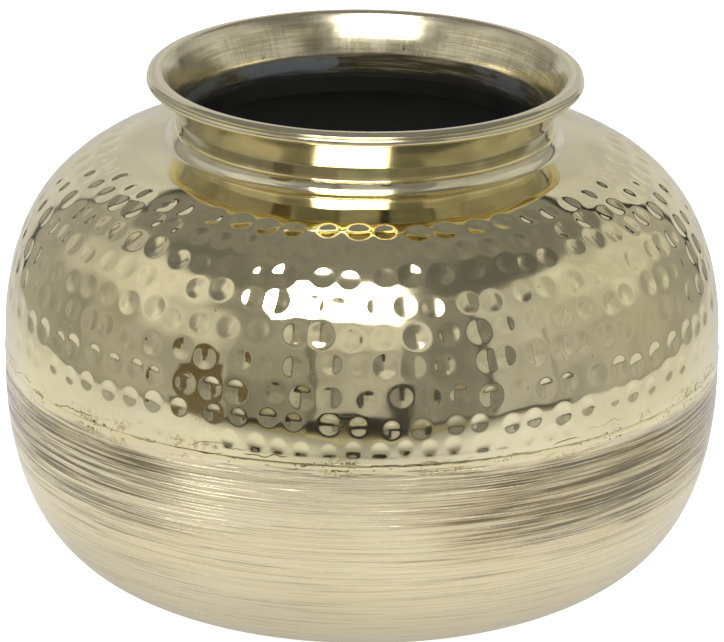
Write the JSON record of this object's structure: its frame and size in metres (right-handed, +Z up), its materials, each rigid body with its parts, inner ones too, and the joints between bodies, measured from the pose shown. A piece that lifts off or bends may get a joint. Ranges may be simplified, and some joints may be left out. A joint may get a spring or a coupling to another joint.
{
  "type": "kalash pot",
  "caption": "Round-bellied brass water pot with a hammered shoulder, spun lower bowl, turned neck and flared, ring-reinforced lip.",
  "frame": {"origin": "on the floor at the centre of the foot", "axes": "+Z up along the pot's axis, out of its mouth; the pot is a body of revolution, so X and Y are interchangeable"},
  "size_m": [0.2808, 0.2808, 0.2058],
  "materials": {
    "hammered_brass": "polished, hammered",
    "brushed_brass": "turned, brushed around",
    "turned_brass": "turned, polished",
    "brazing": "rough, tarnished",
    "black_lacquer": "matte"
  },
  "bodies": {
    "root": {"lower_bowl": "brushed_brass", "upper_shell": "hammered_brass", "neck_collar": "turned_brass", "rim_ring": "turned_brass", "seam_braze": "brazing", "neck_braze": "brazing", "inner_lacquer": "black_lacquer"}
  },
  "joints": []
}
